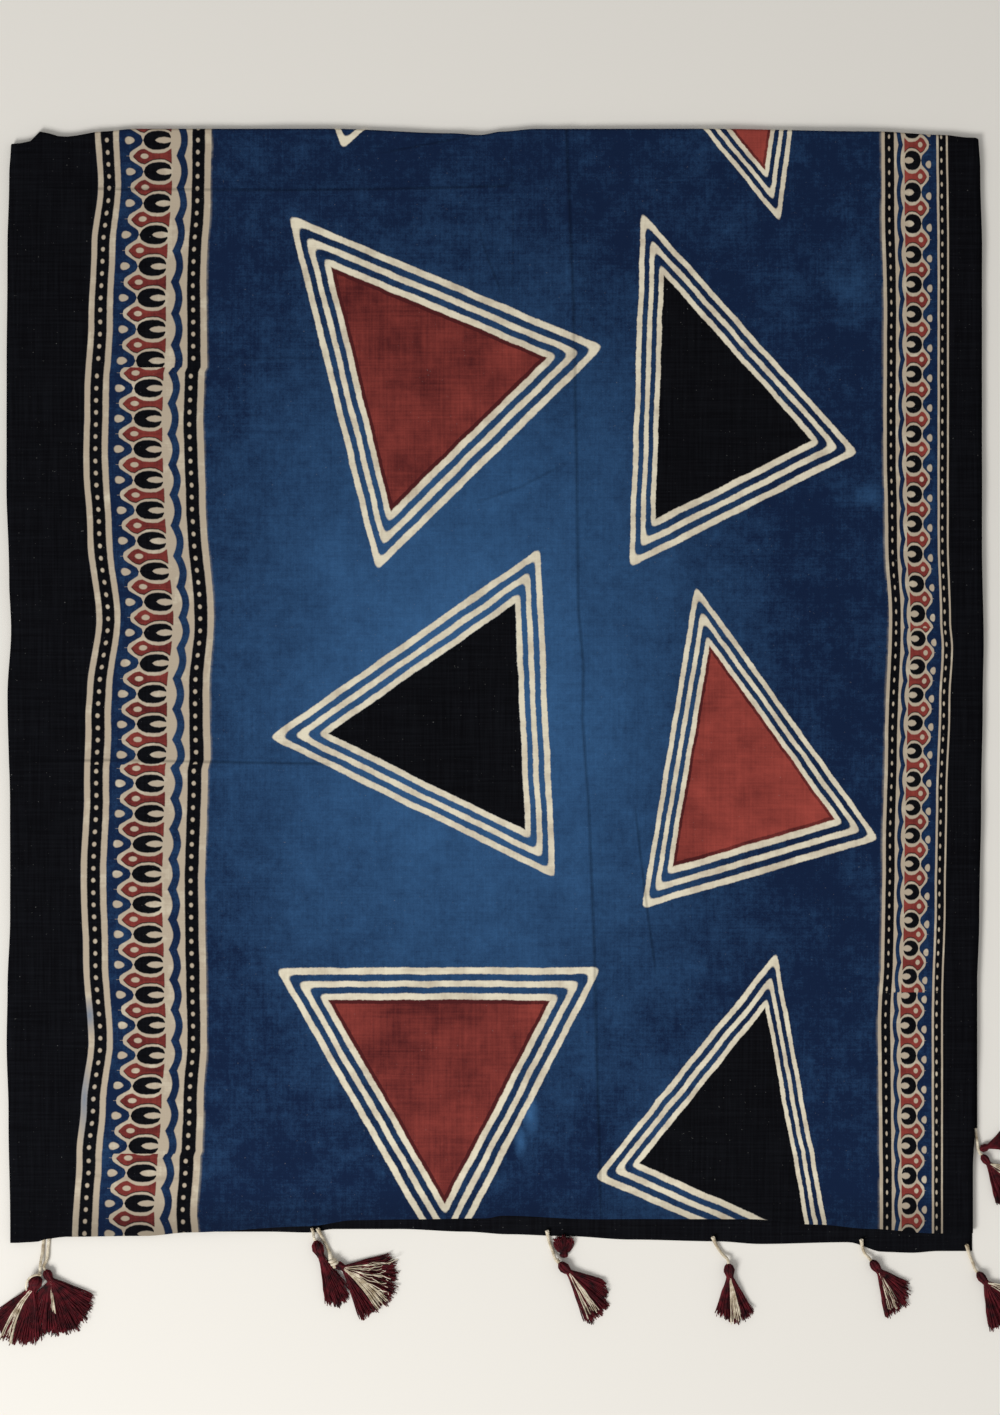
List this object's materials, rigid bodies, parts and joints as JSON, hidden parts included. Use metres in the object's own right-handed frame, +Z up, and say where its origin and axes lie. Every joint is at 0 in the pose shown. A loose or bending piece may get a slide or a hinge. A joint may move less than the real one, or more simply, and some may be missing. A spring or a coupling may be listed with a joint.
{
  "type": "folded ajrakh cloth with tassels",
  "caption": "Long block-printed cotton cloth with bordered sides, folded flat in layers, with yarn tassels on cords at its ends, to wrap, wear or spread",
  "frame": {"origin": "in the middle of the folded cloth, on the surface that it rests on", "axes": "+Z up out of the surface, +X along the cloth's width from the wide-looking border to the narrow-looking one, +Y along the folded length towards the double fold"},
  "size_m": [1.1841, 1.3806, 0.0161],
  "materials": {
    "printed_cotton": "thin matt cotton, resist and block printed in indigo, black, madder red and cream",
    "cream_cord": "twisted cotton cord",
    "maroon_yarn": "matt cotton yarn with a few cream strands"
  },
  "bodies": {
    "root": {"ajrakh_cloth": "printed_cotton", "tassel_cord_1a": "cream_cord", "tassel_cord_1b": "cream_cord", "tassel_cord_2a": "cream_cord", "tassel_cord_2b": "cream_cord", "tassel_cord_3": "cream_cord", "tassel_cord_4": "cream_cord", "tassel_cord_5": "cream_cord", "tassel_cord_6": "cream_cord", "tassel_cord_7": "cream_cord", "tassel_1a": "maroon_yarn", "tassel_1b": "maroon_yarn", "tassel_2a": "maroon_yarn", "tassel_2b": "maroon_yarn", "tassel_3a": "maroon_yarn", "tassel_3b": "maroon_yarn", "tassel_4": "maroon_yarn", "tassel_5": "maroon_yarn", "tassel_6": "maroon_yarn", "tassel_7a": "maroon_yarn", "tassel_7b": "maroon_yarn"}
  },
  "joints": []
}
